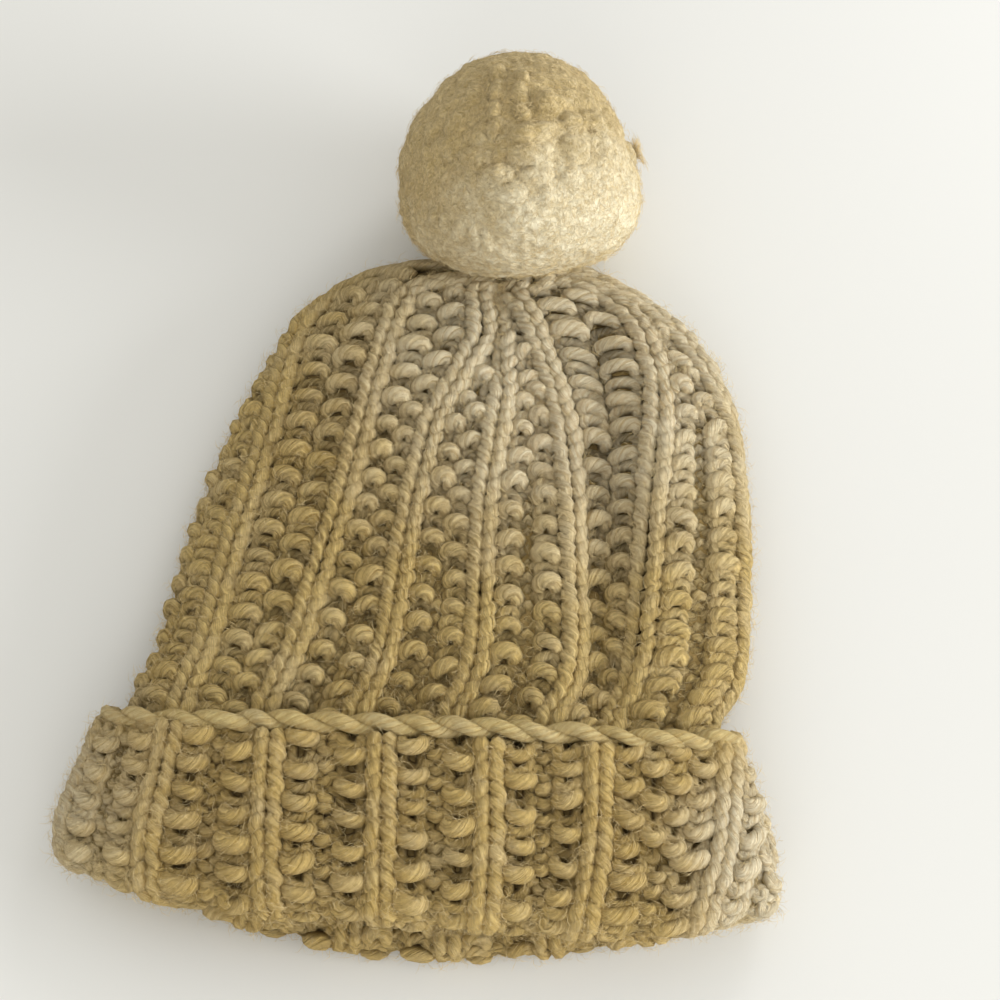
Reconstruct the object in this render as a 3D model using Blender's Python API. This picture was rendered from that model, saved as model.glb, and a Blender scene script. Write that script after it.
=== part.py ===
"""A chunky hand-knitted bobble hat, lying flat with its cuff turned up.

Metres, +Z up. The hat lies on the ground at z = 0, its mouth towards -Y and its bobble
towards +Y. Hat coordinates start under the middle of the folded brim; at the end an empty
moves the whole hat so that the origin is under the middle of its box.
"""

import math
from collections import namedtuple

import bmesh
import bpy
import numpy as np
from mathutils import Matrix, Vector

# Driving sizes of the lying hat
BRIM_WIDTH = 0.2475
BRIM_BOW = 0.0155
BRIM_SLANT = 0.0035
CUFF_HEIGHT = 0.0735
HAT_LENGTH = 0.2560
CROWN_WIDTH = 0.2075
CROWN_DEPTH = 0.0355
MOUTH_HOLLOW = 0.0125

# Walls, ribs and the gaps between pieces that touch
KNIT_WALL = 0.0075
CUFF_WALL = 0.0080
EDGE_WIDTH = 0.0055
EDGE_WAVE = 0.0009
RIB_DEPTH = 0.0032
GAP = 0.0004

# Bobble and the yarn post that ties it to the gathered top
BOBBLE_WIDTH = 0.0888
BOBBLE_LENGTH = 0.0810
BOBBLE_LEAN = math.radians(25)
BOBBLE_TURN = math.radians(5)
BOBBLE_STAND_OFF = 0.0032
TIE_RADIUS = 0.0030
TIE_SOCKET = 0.0070

# Stitch layout: one repeat is a raised column, a bumpy one, a sunk one and a bumpy one
REPEATS = 14
CROWN_PHASE = 0.0457
CUFF_PHASE = 0.0125
UNDERSIDE_RELIEF = 0.5

# How each flattened ring is rounded, how high up its widest level lies, and how much deeper
# than its underside it would reach if the ground didn't flatten it
TOP_ROUNDING = 2.5
BOTTOM_ROUNDING = 3.4
WIDEST_LEVEL = 0.47
FLAT_FOOT = 1.07
RING_SAMPLES = 2400

# How the bow bends from the middle to the sides: over the top layer of the cuff, over the
# layer below it, which lags by a share of the bow, and over the crown
TOP_BEND = 5.0
LOW_BEND = 1.6
LOW_LAG = 0.15
CROWN_BEND = 3.0

BOBBLE_SIDES = 36
TIE_SIDES = 16
LIP_STEPS = 5

RibPoint = namedtuple("RibPoint", "place depth")
RIB_POINTS = (
    RibPoint(-0.085, 0.00),
    RibPoint(0.085, 0.00),
    RibPoint(0.250, 0.55),
    RibPoint(0.415, 1.00),
    RibPoint(0.585, 1.00),
    RibPoint(0.750, 0.55),
)

# Rings under the cuff, from the fold up. along: share of the straight part of the cuff,
# width and aside: shares of the brim's width, bow: share of the brim's bow,
# slant: share of the brim's slant
CuffRing = namedtuple("CuffRing", "along width aside bow slant")
CUFF_RINGS = (
    CuffRing(0.00, 0.994, -0.001, 1.00, 1.00),
    CuffRing(0.26, 0.997, -0.001, 0.90, 0.80),
    CuffRing(0.52, 0.964, -0.001, 0.80, 0.55),
    CuffRing(0.76, 0.928, -0.003, 0.70, 0.25),
    CuffRing(1.00, 0.890, -0.004, 0.60, 0.00),
)

# Rings of the crown above the cuff, up to the gather. along: share of the length above the
# cuff, width and aside: shares of the crown's width, lift and top: how far the underside is
# raised by the cuff's layer below and the height, as a share of the crown's depth,
# bow: share of the brim's bow, lean: share of the bobble's lean
CrownRing = namedtuple("CrownRing", "along width aside lift top bow lean")
CROWN_RINGS = (
    CrownRing(0.040, 0.994, 0.004, 0.85, 0.990, 0.45, 0.0),
    CrownRing(0.070, 1.000, 0.024, 0.50, 1.000, 0.41, 0.0),
    CrownRing(0.145, 0.993, 0.040, 0.00, 1.000, 0.35, 0.0),
    CrownRing(0.234, 0.987, 0.047, 0.00, 0.990, 0.29, 0.0),
    CrownRing(0.322, 0.977, 0.053, 0.00, 0.985, 0.23, 0.0),
    CrownRing(0.402, 0.962, 0.060, 0.00, 0.975, 0.16, 0.0),
    CrownRing(0.481, 0.942, 0.067, 0.00, 0.965, 0.10, 0.0),
    CrownRing(0.561, 0.917, 0.074, 0.00, 0.955, 0.06, 0.0),
    CrownRing(0.641, 0.886, 0.081, 0.00, 0.940, 0.03, 0.0),
    CrownRing(0.754, 0.822, 0.086, 0.00, 0.900, 0.03, 0.0),
    CrownRing(0.811, 0.770, 0.085, 0.00, 0.860, 0.07, 0.0),
    CrownRing(0.859, 0.703, 0.082, 0.00, 0.820, 0.13, 0.0),
    CrownRing(0.893, 0.627, 0.077, 0.02, 0.790, 0.23, 0.1),
    CrownRing(0.921, 0.546, 0.072, 0.08, 0.765, 0.29, 0.3),
    CrownRing(0.940, 0.407, 0.080, 0.25, 0.735, 0.55, 0.7),
    CrownRing(0.950, 0.266, 0.098, 0.60, 0.740, 0.52, 1.0),
    CrownRing(0.953, 0.148, 0.118, 1.25, 0.745, 0.28, 1.0),
)
GATHER_ALONG = 0.950
GATHER_ASIDE = 0.131
GATHER_HEIGHT = 0.620
INNER_RINGS_LEFT_OUT = 2

# Outline of the cast-on edge, from its inner corner on the cuff's band round its outer side.
# ahead: share of its width, outward: share of its thickness, waved: where its loops show
EdgePoint = namedtuple("EdgePoint", "ahead outward waved")
EDGE_PROFILE = (
    EdgePoint(0.00, 0.00, 0),
    EdgePoint(0.00, 1.00, 1),
    EdgePoint(0.35, 1.06, 1),
    EdgePoint(0.75, 0.95, 1),
    EdgePoint(1.00, 0.60, 1),
    EdgePoint(1.00, 0.15, 0),
)

# Sunk places in the top layer. aside and along: shares of the crown's width and length,
# half_width and half_length: the same, depth: share of the crown's depth
Dent = namedtuple("Dent", "aside along half_width half_length depth")
DENTS = (
    Dent(0.296, 0.36, 0.085, 0.38, 0.27),
    Dent(0.205, 0.66, 0.130, 0.20, 0.09),
)

# Turned outline of the bobble from its base, at the hat, to its far end, as shares of its
# length and of its half width
ProfilePoint = namedtuple("ProfilePoint", "along radius")
BOBBLE_PROFILE = (
    ProfilePoint(0.000, 0.22),
    ProfilePoint(0.012, 0.38),
    ProfilePoint(0.045, 0.58),
    ProfilePoint(0.100, 0.77),
    ProfilePoint(0.190, 0.93),
    ProfilePoint(0.285, 0.985),
    ProfilePoint(0.385, 1.00),
    ProfilePoint(0.480, 0.985),
    ProfilePoint(0.575, 0.95),
    ProfilePoint(0.670, 0.89),
    ProfilePoint(0.755, 0.79),
    ProfilePoint(0.835, 0.67),
    ProfilePoint(0.905, 0.52),
    ProfilePoint(0.960, 0.35),
    ProfilePoint(0.990, 0.17),
    ProfilePoint(1.000, 0.00),
)

# Soft dents in the bobble. turn: degrees around its axis from the top, along: share of its
# length, spread and depth: shares of its width
BobbleDent = namedtuple("BobbleDent", "turn along spread depth")
BOBBLE_DENTS = (
    BobbleDent(-20, 0.70, 0.16, 0.030),
    BobbleDent(70, 0.30, 0.20, 0.020),
    BobbleDent(-95, 0.60, 0.22, 0.025),
)

CUFF_LAYER = CUFF_WALL + GAP
LIP_RADIUS = (KNIT_WALL + GAP + CUFF_WALL) / 2
CROWN_LENGTH = HAT_LENGTH - CUFF_HEIGHT
BRIM_DEPTH = MOUTH_HOLLOW + 2 * KNIT_WALL

# One ring of the knitted tube: centre, half width, underside and top, all in metres, how far
# its sides run ahead of its middle and its left ahead of its centre, its lean as a slope, and
# how the bow bends over the top layer and the one below, which lags by a share of the bow
Ring = namedtuple("Ring", "y x half_width low high bow slant slope top_bend low_bend lag")


def clear_scene():
    for obj in list(bpy.data.objects):
        bpy.data.objects.remove(obj, do_unlink=True)


def wool(name, colour):
    """A matt wool material."""
    material = bpy.data.materials.new(name)
    material.use_nodes = True
    shader = material.node_tree.nodes["Principled BSDF"]
    shader.inputs["Base Color"].default_value = (*colour, 1.0)
    shader.inputs["Roughness"].default_value = 0.95
    shader.inputs["Metallic"].default_value = 0.0
    shader.inputs["Sheen Weight"].default_value = 0.4
    return material


def cuff_ring(row):
    """A ring of the crown's tube where the cuff wraps it, the cuff's layer inside the brim's width."""
    straight = CUFF_HEIGHT - EDGE_WIDTH - GAP - LIP_RADIUS
    return Ring(
        y=LIP_RADIUS + row.along * straight,
        x=row.aside * BRIM_WIDTH,
        half_width=row.width * BRIM_WIDTH / 2 - CUFF_LAYER,
        low=CUFF_LAYER,
        high=CUFF_LAYER + BRIM_DEPTH,
        bow=row.bow * BRIM_BOW,
        slant=row.slant * BRIM_SLANT,
        slope=0.0,
        top_bend=TOP_BEND,
        low_bend=LOW_BEND,
        lag=LOW_LAG,
    )


def crown_ring(row):
    return Ring(
        y=CUFF_HEIGHT + row.along * CROWN_LENGTH,
        x=row.aside * CROWN_WIDTH,
        half_width=row.width * CROWN_WIDTH / 2,
        low=row.lift * CUFF_LAYER,
        high=row.top * CROWN_DEPTH,
        bow=row.bow * BRIM_BOW,
        slant=0.0,
        slope=math.tan(row.lean * BOBBLE_LEAN),
        top_bend=CROWN_BEND,
        low_bend=CROWN_BEND,
        lag=0.0,
    )


def edge_ring(top_of_cuff, ahead):
    """The last ring under the cuff, moved ahead to carry the cast-on edge."""
    return top_of_cuff._replace(y=top_of_cuff.y + ahead)


def cuff_rings():
    """The rings that the cuff's band wraps."""
    return [cuff_ring(row) for row in CUFF_RINGS]


def hidden_rings():
    """All the rings under the turned-up cuff, with one more at the top of its cast-on edge."""
    wrapped = cuff_rings()
    return wrapped + [edge_ring(wrapped[-1], EDGE_WIDTH + GAP)]


def gather_point():
    """The middle of the gathered top, where the tie passes through the knitting."""
    return Vector((
        GATHER_ASIDE * CROWN_WIDTH,
        CUFF_HEIGHT + GATHER_ALONG * CROWN_LENGTH,
        GATHER_HEIGHT * CROWN_DEPTH,
    ))


def bobble_axis():
    return bobble_turn() @ Vector((0.0, 0.0, 1.0))


def bobble_turn():
    """Turns +Z into the bobble's axis: leaned back from +Y, and a little to the left."""
    lean = Matrix.Rotation(BOBBLE_LEAN - math.pi / 2, 4, "X")
    return Matrix.Rotation(BOBBLE_TURN, 4, "Z") @ lean


def dent_depth(x, y):
    """How far the top layer is pressed in at a place, in metres."""
    depth = np.zeros(np.broadcast(x, y).shape)
    for dent in DENTS:
        across = (x - dent.aside * CROWN_WIDTH) / (dent.half_width * CROWN_WIDTH)
        along = (y - CUFF_HEIGHT - dent.along * CROWN_LENGTH) / (dent.half_length * CROWN_LENGTH)
        fall_across = np.cos(np.clip(across, -1, 1) * math.pi / 2) ** 2
        fall_along = 1 - np.clip(np.abs(along), 0, 1) ** 4
        depth += dent.depth * CROWN_DEPTH * fall_across * fall_along
    return depth


def ring_angle(turns):
    """The angle of a turn round a ring: turns start at -X and go over the top."""
    return math.pi - 2 * math.pi * turns


def ring_outline(ring, turns, grow):
    """Points of a ring at the given turns, as an array of x, y, z. grow widens it all round."""
    angle = ring_angle(turns)
    cosine, sine = np.cos(angle), np.sin(angle)
    rounding = np.where(sine >= 0, TOP_ROUNDING, BOTTOM_ROUNDING)
    across = np.sign(cosine) * np.abs(cosine) ** (2 / rounding)
    upward = np.sign(sine) * np.abs(sine) ** (2 / rounding)
    middle = ring.low + WIDEST_LEVEL * (ring.high - ring.low)
    above = ring.high - middle + grow
    below = (middle - ring.low) * FLAT_FOOT + grow
    x = ring.x + (ring.half_width + grow) * across
    z = middle + np.where(sine >= 0, above, below) * upward
    z = np.maximum(z, ring.low - grow)
    bend = np.where(sine >= 0, ring.top_bend, ring.low_bend)
    lag = np.where(sine >= 0, 0.0, ring.lag)
    lead = ring.bow * (lag + (1 - lag) * np.abs(across) ** bend)
    y = ring.y + lead - ring.slant * across - ring.slope * (z - middle)
    z = z - dent_depth(x, y) * np.clip(upward, 0, 1)
    return np.stack([x, y, z], axis=-1)


def even_turns(ring, places):
    """The turns at which a ring has the given shares of its length behind it."""
    dense = np.linspace(0, 1, RING_SAMPLES + 1)
    outline = ring_outline(ring, dense, 0.0)
    steps = np.linalg.norm(np.diff(outline, axis=0), axis=1)
    run = np.concatenate([[0], np.cumsum(steps)])
    return np.interp(np.asarray(places) % 1.0, run / run[-1], dense)


def rib_places(phase):
    """Shares of the way round a ring where its points lie, and how sunk each point is."""
    places = [(n + point.place) / REPEATS + phase for n in range(REPEATS) for point in RIB_POINTS]
    depths = [point.depth for _ in range(REPEATS) for point in RIB_POINTS]
    return np.array(places), np.array(depths)


def relief(ring, turns, depths):
    """Rib relief all round a ring, less on its underside, which is pressed flat."""
    underside = np.clip(-2 * np.sin(ring_angle(turns)), 0, 1)
    return RIB_DEPTH * depths * (1 - (1 - UNDERSIDE_RELIEF) * underside)


def swept_tube(name, rings, material):
    """A closed skin through a closed row of rings, each an array of the same number of points."""
    mesh = bpy.data.meshes.new(name)
    body = bmesh.new()
    rows = [[body.verts.new(point) for point in ring] for ring in rings]
    for this, following in zip(rows, rows[1:] + rows[:1]):
        for n in range(len(this)):
            after = (n + 1) % len(this)
            body.faces.new((this[n], this[after], following[after], following[n]))
    return finish_body(name, mesh, body, material)


def finish_body(name, mesh, body, material):
    """Turns the faces outward, splits them into triangles and makes the object."""
    bmesh.ops.recalc_face_normals(body, faces=body.faces)
    if body.calc_volume(signed=True) < 0:
        bmesh.ops.reverse_faces(body, faces=body.faces)
    bmesh.ops.triangulate(body, faces=body.faces)
    body.to_mesh(mesh)
    body.free()
    mesh.shade_smooth()
    obj = bpy.data.objects.new(name, mesh)
    obj.data.materials.append(material)
    bpy.context.scene.collection.objects.link(obj)
    return obj


def inner_ring(rings, n):
    """Ring n's inner side: smaller by the wall, and set back where the tube closes in."""
    ring = rings[n]
    before = rings[max(n - 1, 0)]
    after = rings[min(n + 1, len(rings) - 1)]
    narrowing = before.half_width - after.half_width
    advance = (after.y + after.bow) - (before.y + before.bow)
    facing_ahead = max(0.0, narrowing) / math.hypot(narrowing, advance)
    facing_aside = math.sqrt(1 - facing_ahead ** 2)
    return ring._replace(
        y=ring.y - KNIT_WALL * facing_ahead,
        half_width=ring.half_width - KNIT_WALL * facing_aside,
        low=ring.low + KNIT_WALL,
        high=ring.high - KNIT_WALL,
    )


def round_hole_ring(centre, radius, places):
    """Points of a round hole square to the bobble's axis, in step with the tube's rings."""
    turn = bobble_turn()
    points = []
    for place in places:
        angle = ring_angle(place)
        spoke = turn @ Vector((math.cos(angle), -math.sin(angle), 0.0))
        points.append(centre + radius * spoke)
    return points


def make_crown():
    """The knitted body of the hat: a tube, open at the mouth and gathered round the tie."""
    under_cuff = hidden_rings()
    rings = under_cuff + [crown_ring(row) for row in CROWN_RINGS]
    places, depths = rib_places(CROWN_PHASE)
    outer = []
    for n, ring in enumerate(rings):
        turns = even_turns(ring, places)
        sunk = relief(ring, turns, depths) if n >= len(under_cuff) else 0.0
        outer.append(ring_outline(ring, turns, -sunk))
    hole_radius = TIE_RADIUS + GAP
    gather = gather_point()
    outer.append(round_hole_ring(gather, hole_radius, places))
    outer.append(round_hole_ring(gather - bobble_axis() * KNIT_WALL, hole_radius, places))
    inner = []
    for n in range(len(rings) - INNER_RINGS_LEFT_OUT):
        turns = even_turns(rings[n], places)
        inner.append(ring_outline(inner_ring(rings, n), turns, 0.0))
    return swept_tube("crown", outer + inner[::-1], wool("crown_wool", (0.56, 0.46, 0.30)))


def make_cuff():
    """The turned-up end: a band round the crown and the rolled fold that joins it to the mouth."""
    wrapped = cuff_rings()
    places, depths = rib_places(CUFF_PHASE)
    crown_places, _ = rib_places(CROWN_PHASE)
    band = []
    lining = []
    for ring in wrapped:
        turns = even_turns(ring, places)
        band.append(ring_outline(ring, turns, CUFF_LAYER - relief(ring, turns, depths)))
        lining.append(ring_outline(ring, even_turns(ring, crown_places), GAP))
    fold = wrapped[0]
    turns = even_turns(fold, places)
    lip = []
    for step in range(1, LIP_STEPS + 1):
        bend = math.pi * step / LIP_STEPS
        grow = CUFF_LAYER - LIP_RADIUS + LIP_RADIUS * math.cos(bend)
        back = LIP_RADIUS * math.sin(bend)
        fade = relief(fold, turns, depths) * max(0.0, math.cos(bend / 2))
        lip.append(ring_outline(fold._replace(y=fold.y - GAP - back), turns, grow - fade))
    turns = even_turns(fold, crown_places)
    seat = ring_outline(fold._replace(y=fold.y - GAP), turns, GAP)
    rings = band[::-1] + lip + [seat] + lining
    return swept_tube("cuff", rings, wool("cuff_wool", (0.52, 0.42, 0.26)))


def make_cast_on_edge():
    """The rounded chain of loops along the free edge of the cuff."""
    places, _ = rib_places(CROWN_PHASE)
    base = cuff_rings()[-1]
    turns = even_turns(base, places)
    thickness = CUFF_WALL - EDGE_WAVE
    sunk = np.where(np.arange(len(places)) % 2 == 0, 0.0, EDGE_WAVE)
    rings = []
    for point in EDGE_PROFILE:
        ring = edge_ring(base, GAP + point.ahead * EDGE_WIDTH)
        grow = GAP + point.outward * thickness - point.waved * sunk
        rings.append(ring_outline(ring, turns, grow))
    return swept_tube("cast_on_edge", rings, wool("edge_wool", (0.60, 0.50, 0.33)))


def turned_body(profile, sides):
    """A closed turned shape about +Z from (height, radius) pairs that start and end on the axis."""
    body = bmesh.new()
    rows = []
    for height, radius in profile:
        if radius == 0:
            rows.append([body.verts.new((0, 0, height))])
            continue
        rows.append([
            body.verts.new((
                radius * math.cos(2 * math.pi * n / sides),
                radius * math.sin(2 * math.pi * n / sides),
                height,
            ))
            for n in range(sides)
        ])
    for this, following in zip(rows, rows[1:]):
        for n in range(sides):
            after = (n + 1) % sides
            corners = [this[n % len(this)], this[after % len(this)],
                       following[after % len(following)], following[n % len(following)]]
            body.faces.new(list(dict.fromkeys(corners)))
    return body


def along_bobble_axis(start):
    """The placing of a turned shape: its axis along the bobble's, its zero at start."""
    return Matrix.Translation(start) @ bobble_turn()


def bobble_base():
    """The middle of the bobble's base, on the tie's line through the gather."""
    return gather_point() + bobble_axis() * BOBBLE_STAND_OFF


def press_bobble_dents(body):
    """Presses the soft dents into the turned bobble, before it is placed."""
    for vert in body.verts:
        radius = math.hypot(vert.co.x, vert.co.y)
        if radius < TIE_RADIUS * 2:
            continue
        pressed = 0.0
        for dent in BOBBLE_DENTS:
            angle = math.radians(90 + dent.turn)
            height = dent.along * BOBBLE_LENGTH
            spot = Vector((radius * math.cos(angle), radius * math.sin(angle), height))
            away = (vert.co - spot).length / (dent.spread * BOBBLE_WIDTH)
            pressed += dent.depth * BOBBLE_WIDTH * math.exp(-2 * away ** 2)
        vert.co.x *= 1 - pressed / radius
        vert.co.y *= 1 - pressed / radius


def make_bobble():
    """The stuffed ball, with a socket for the tie and a foot pressed flat on the ground."""
    hole = TIE_RADIUS + GAP
    profile = [(TIE_SOCKET, 0.0), (TIE_SOCKET, hole), (0.0, hole)]
    profile += [(point.along * BOBBLE_LENGTH, point.radius * BOBBLE_WIDTH / 2) for point in BOBBLE_PROFILE]
    body = turned_body(profile, BOBBLE_SIDES)
    press_bobble_dents(body)
    body.transform(along_bobble_axis(bobble_base()))
    for vert in body.verts:
        vert.co.z = max(vert.co.z, 0.0)
    return finish_body("bobble", bpy.data.meshes.new("bobble"), body, wool("bobble_wool", (0.63, 0.55, 0.39)))


def make_tie():
    """The hidden yarn post, drawn through the gathered top and sewn into the bobble."""
    tip = BOBBLE_STAND_OFF + TIE_SOCKET - GAP
    profile = ((-KNIT_WALL, 0.0), (-KNIT_WALL, TIE_RADIUS), (tip, TIE_RADIUS), (tip, 0.0))
    body = turned_body(profile, TIE_SIDES)
    body.transform(along_bobble_axis(gather_point()))
    mesh = bpy.data.meshes.new("bobble_tie")
    return finish_body("bobble_tie", mesh, body, wool("tie_wool", (0.50, 0.40, 0.26)))


def centre_on_origin(pieces):
    """Hangs the pieces on an empty that puts the origin under the middle of their box."""
    corners = [vert.co for piece in pieces for vert in piece.data.vertices]
    middle_x = (min(c.x for c in corners) + max(c.x for c in corners)) / 2
    middle_y = (min(c.y for c in corners) + max(c.y for c in corners)) / 2
    lowest = min(c.z for c in corners)
    hat = bpy.data.objects.new("hat", None)
    bpy.context.scene.collection.objects.link(hat)
    hat.location = (-middle_x, -middle_y, -lowest)
    for piece in pieces:
        piece.parent = hat


def main():
    clear_scene()
    pieces = [make_crown(), make_cuff(), make_cast_on_edge(), make_bobble(), make_tie()]
    centre_on_origin(pieces)


main()
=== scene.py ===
import math
from collections import namedtuple

import bpy
import numpy as np
from mathutils import Matrix, Vector


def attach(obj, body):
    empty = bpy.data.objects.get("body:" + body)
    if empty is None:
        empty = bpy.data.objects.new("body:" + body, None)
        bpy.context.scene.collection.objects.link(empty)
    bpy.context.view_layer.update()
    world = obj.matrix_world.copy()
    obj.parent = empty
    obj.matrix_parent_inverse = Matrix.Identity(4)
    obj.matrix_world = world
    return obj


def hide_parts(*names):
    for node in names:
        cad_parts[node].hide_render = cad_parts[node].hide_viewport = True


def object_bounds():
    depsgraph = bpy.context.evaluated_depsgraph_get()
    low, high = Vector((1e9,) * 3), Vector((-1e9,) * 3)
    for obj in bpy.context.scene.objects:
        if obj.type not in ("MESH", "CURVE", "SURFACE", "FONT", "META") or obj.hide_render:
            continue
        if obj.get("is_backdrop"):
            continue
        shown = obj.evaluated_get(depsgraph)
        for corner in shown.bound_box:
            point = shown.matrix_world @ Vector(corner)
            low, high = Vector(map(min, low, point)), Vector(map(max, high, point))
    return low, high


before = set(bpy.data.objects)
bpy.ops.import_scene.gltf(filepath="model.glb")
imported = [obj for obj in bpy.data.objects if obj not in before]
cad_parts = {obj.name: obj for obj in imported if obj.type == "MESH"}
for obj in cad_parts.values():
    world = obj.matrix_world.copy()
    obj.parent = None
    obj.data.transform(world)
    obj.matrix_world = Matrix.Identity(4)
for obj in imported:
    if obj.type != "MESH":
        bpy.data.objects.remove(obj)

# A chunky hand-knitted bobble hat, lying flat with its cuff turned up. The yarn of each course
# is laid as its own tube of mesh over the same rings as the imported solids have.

cad_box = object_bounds()

# Driving sizes of the lying hat, as in the part's source, in metres
BRIM_WIDTH = 0.2475
BRIM_BOW = 0.0155
BRIM_SLANT = 0.0035
CUFF_HEIGHT = 0.0735
HAT_LENGTH = 0.2560
CROWN_WIDTH = 0.2075
CROWN_DEPTH = 0.0355
MOUTH_HOLLOW = 0.0125
KNIT_WALL = 0.0075
CUFF_WALL = 0.0080
EDGE_WIDTH = 0.0055
GAP = 0.0004
BOBBLE_WIDTH = 0.0888
BOBBLE_LENGTH = 0.0810
BOBBLE_LEAN = math.radians(25)
BOBBLE_TURN = math.radians(5)
BOBBLE_STAND_OFF = 0.0032

REPEATS = 14
TOP_ROUNDING = 2.5
BOTTOM_ROUNDING = 3.4
WIDEST_LEVEL = 0.47
FLAT_FOOT = 1.07
TOP_BEND = 5.0
LOW_BEND = 1.6
LOW_LAG = 0.15
CROWN_BEND = 3.0

CUFF_LAYER = CUFF_WALL + GAP
LIP_RADIUS = (KNIT_WALL + GAP + CUFF_WALL) / 2
CROWN_LENGTH = HAT_LENGTH - CUFF_HEIGHT
BRIM_DEPTH = MOUTH_HOLLOW + 2 * KNIT_WALL

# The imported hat's origin, in hat coordinates: under the middle of its box
HAT_MIDDLE = np.array([0.0000508, 0.1626508, 0.0])

CuffRing = namedtuple("CuffRing", "along width aside bow slant")
CUFF_RINGS = [CuffRing(*row) for row in (
    (0.00, 0.994, -0.001, 1.00, 1.00),
    (0.26, 0.997, -0.001, 0.90, 0.80),
    (0.52, 0.964, -0.001, 0.80, 0.55),
    (0.76, 0.928, -0.003, 0.70, 0.25),
    (1.00, 0.890, -0.004, 0.60, 0.00),
)]
BackFold = namedtuple("BackFold", "aside half_width height drop blend_up blend_in")
BACK_FOLD = BackFold(-0.002, 0.108, 0.020, 0.0088, 0.008, 0.035)
CrownRing = namedtuple("CrownRing", "along width aside lift top bow lean")
CROWN_RINGS = [CrownRing(*row) for row in (
    (0.040, 0.994, 0.004, 0.85, 0.990, 0.45, 0.0),
    (0.070, 1.000, 0.024, 0.50, 1.000, 0.41, 0.0),
    (0.145, 0.993, 0.040, 0.00, 1.000, 0.35, 0.0),
    (0.234, 0.987, 0.047, 0.00, 0.990, 0.29, 0.0),
    (0.322, 0.977, 0.053, 0.00, 0.985, 0.23, 0.0),
    (0.402, 0.962, 0.060, 0.00, 0.975, 0.16, 0.0),
    (0.481, 0.942, 0.067, 0.00, 0.965, 0.10, 0.0),
    (0.561, 0.917, 0.074, 0.00, 0.955, 0.06, 0.0),
    (0.641, 0.886, 0.081, 0.00, 0.940, 0.03, 0.0),
    (0.754, 0.822, 0.086, 0.00, 0.900, 0.03, 0.0),
    (0.811, 0.770, 0.085, 0.00, 0.860, 0.07, 0.0),
    (0.859, 0.703, 0.082, 0.00, 0.820, 0.13, 0.0),
    (0.893, 0.627, 0.077, 0.02, 0.790, 0.23, 0.1),
    (0.921, 0.546, 0.072, 0.08, 0.765, 0.29, 0.3),
    (0.940, 0.407, 0.080, 0.25, 0.735, 0.55, 0.7),
    (0.950, 0.266, 0.098, 0.60, 0.740, 0.52, 1.0),
    (0.953, 0.148, 0.118, 1.25, 0.745, 0.28, 1.0),
)]
# Rings beyond the solids' last one, which draw the gathered yarn in under the bobble
CLOSING_RINGS = [CrownRing(*row) for row in (
    (0.957, 0.098, 0.126, 1.65, 0.745, 0.10, 1.0),
    (0.961, 0.066, 0.131, 1.90, 0.735, 0.00, 1.0),
)]
GATHER_ALONG = 0.950
GATHER_ASIDE = 0.131
GATHER_HEIGHT = 0.620

Dent = namedtuple("Dent", "aside along half_width half_length depth")
DENTS = [Dent(*row) for row in (
    (0.296, 0.36, 0.085, 0.38, 0.27),
    (0.205, 0.66, 0.130, 0.20, 0.09),
    (0.090, 0.84, 0.030, 0.15, 0.10),
    (0.270, 0.80, 0.040, 0.16, 0.10),
)]

ProfilePoint = namedtuple("ProfilePoint", "along radius")
BOBBLE_PROFILE = [ProfilePoint(*row) for row in (
    (0.000, 0.22), (0.012, 0.38), (0.045, 0.58), (0.100, 0.77), (0.190, 0.93),
    (0.285, 0.985), (0.385, 1.00), (0.480, 0.985), (0.575, 0.95), (0.670, 0.89),
    (0.755, 0.79), (0.835, 0.67), (0.905, 0.52), (0.960, 0.35), (0.990, 0.17),
    (1.000, 0.00),
)]
BobbleDent = namedtuple("BobbleDent", "turn along spread depth")
BOBBLE_DENTS = [BobbleDent(*row) for row in (
    (-20, 0.70, 0.16, 0.030),
    (70, 0.30, 0.20, 0.020),
    (-95, 0.60, 0.22, 0.025),
)]

# Yarn and stitches
YARN_RADIUS = 0.00245
YARN_SIDES = 7
KNIT_COLUMN = 0.0102
CROWN_ROW = 0.00535
CUFF_ROW = 0.00515
FOLD_ROW = 0.0034
LAYER_REACH = 0.00150
# Layers of rings under the stitches
CROWN_LAYERS = 320
CUFF_LAYERS = 90
FOLD_LAYERS = 15
TUCKED_IN = 0.030
# Points of a stitch on the upper side of the hat, which is the first share round, and below
FRONT_SHARE = 0.53
FRONT_STEPS = 16
BACK_STEPS = 11
# How uneven the hand knitting is: place and lean in rows, stand in metres, the rest in shares
Uneven = namedtuple("Uneven", "place stand thickness width lean")
UNEVEN = Uneven(0.09, 0.00042, 0.08, 0.12, 0.15)
CROWN_LOOSE = 1.2
CUFF_LOOSE = 1.4
RIB_FIRMNESS = 0.5
PIECE_TRIANGLES = 185000
GROUND = 0.0002
# Heights off the layer at which wool lies in a crevice and in the open, between which the materials
# paint shade on it, and the painted shade at its end
CREVICE_FLOOR = -0.0022
OPEN_HEIGHT = 0.0032
DEEP_SHADE = 0.0028
SHADED_LENGTH = 0.026

# The cast-on chain: the length of one turn of its strands, and how they lie
EDGE_TWIST = 0.0272
EDGE_RADIUS = 0.00240
EDGE_OUT = 0.0017
EDGE_SIDEWAYS = 0.0016
EDGE_DROP = 0.0048
EDGE_BAND = 0.006
EDGE_POINTS = 36

# Loose hairs: how many there are, how long they are and how far they stand up
Hairs = namedtuple("Hairs", "count length lift")
HAIR_RADIUS = 0.000060
CROWN_HAIRS = Hairs(26000, 0.0052, 0.50)
CUFF_HAIRS = Hairs(18000, 0.0052, 0.50)
BOBBLE_HAIRS = Hairs(12000, 0.0042, 0.25)
TUFT_HAIRS = Hairs(260, 0.0060, 0.9)
TUFT = np.array([0.0661, 0.1279, 0.0457])
TUFT_SPREAD = 0.0022

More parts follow.
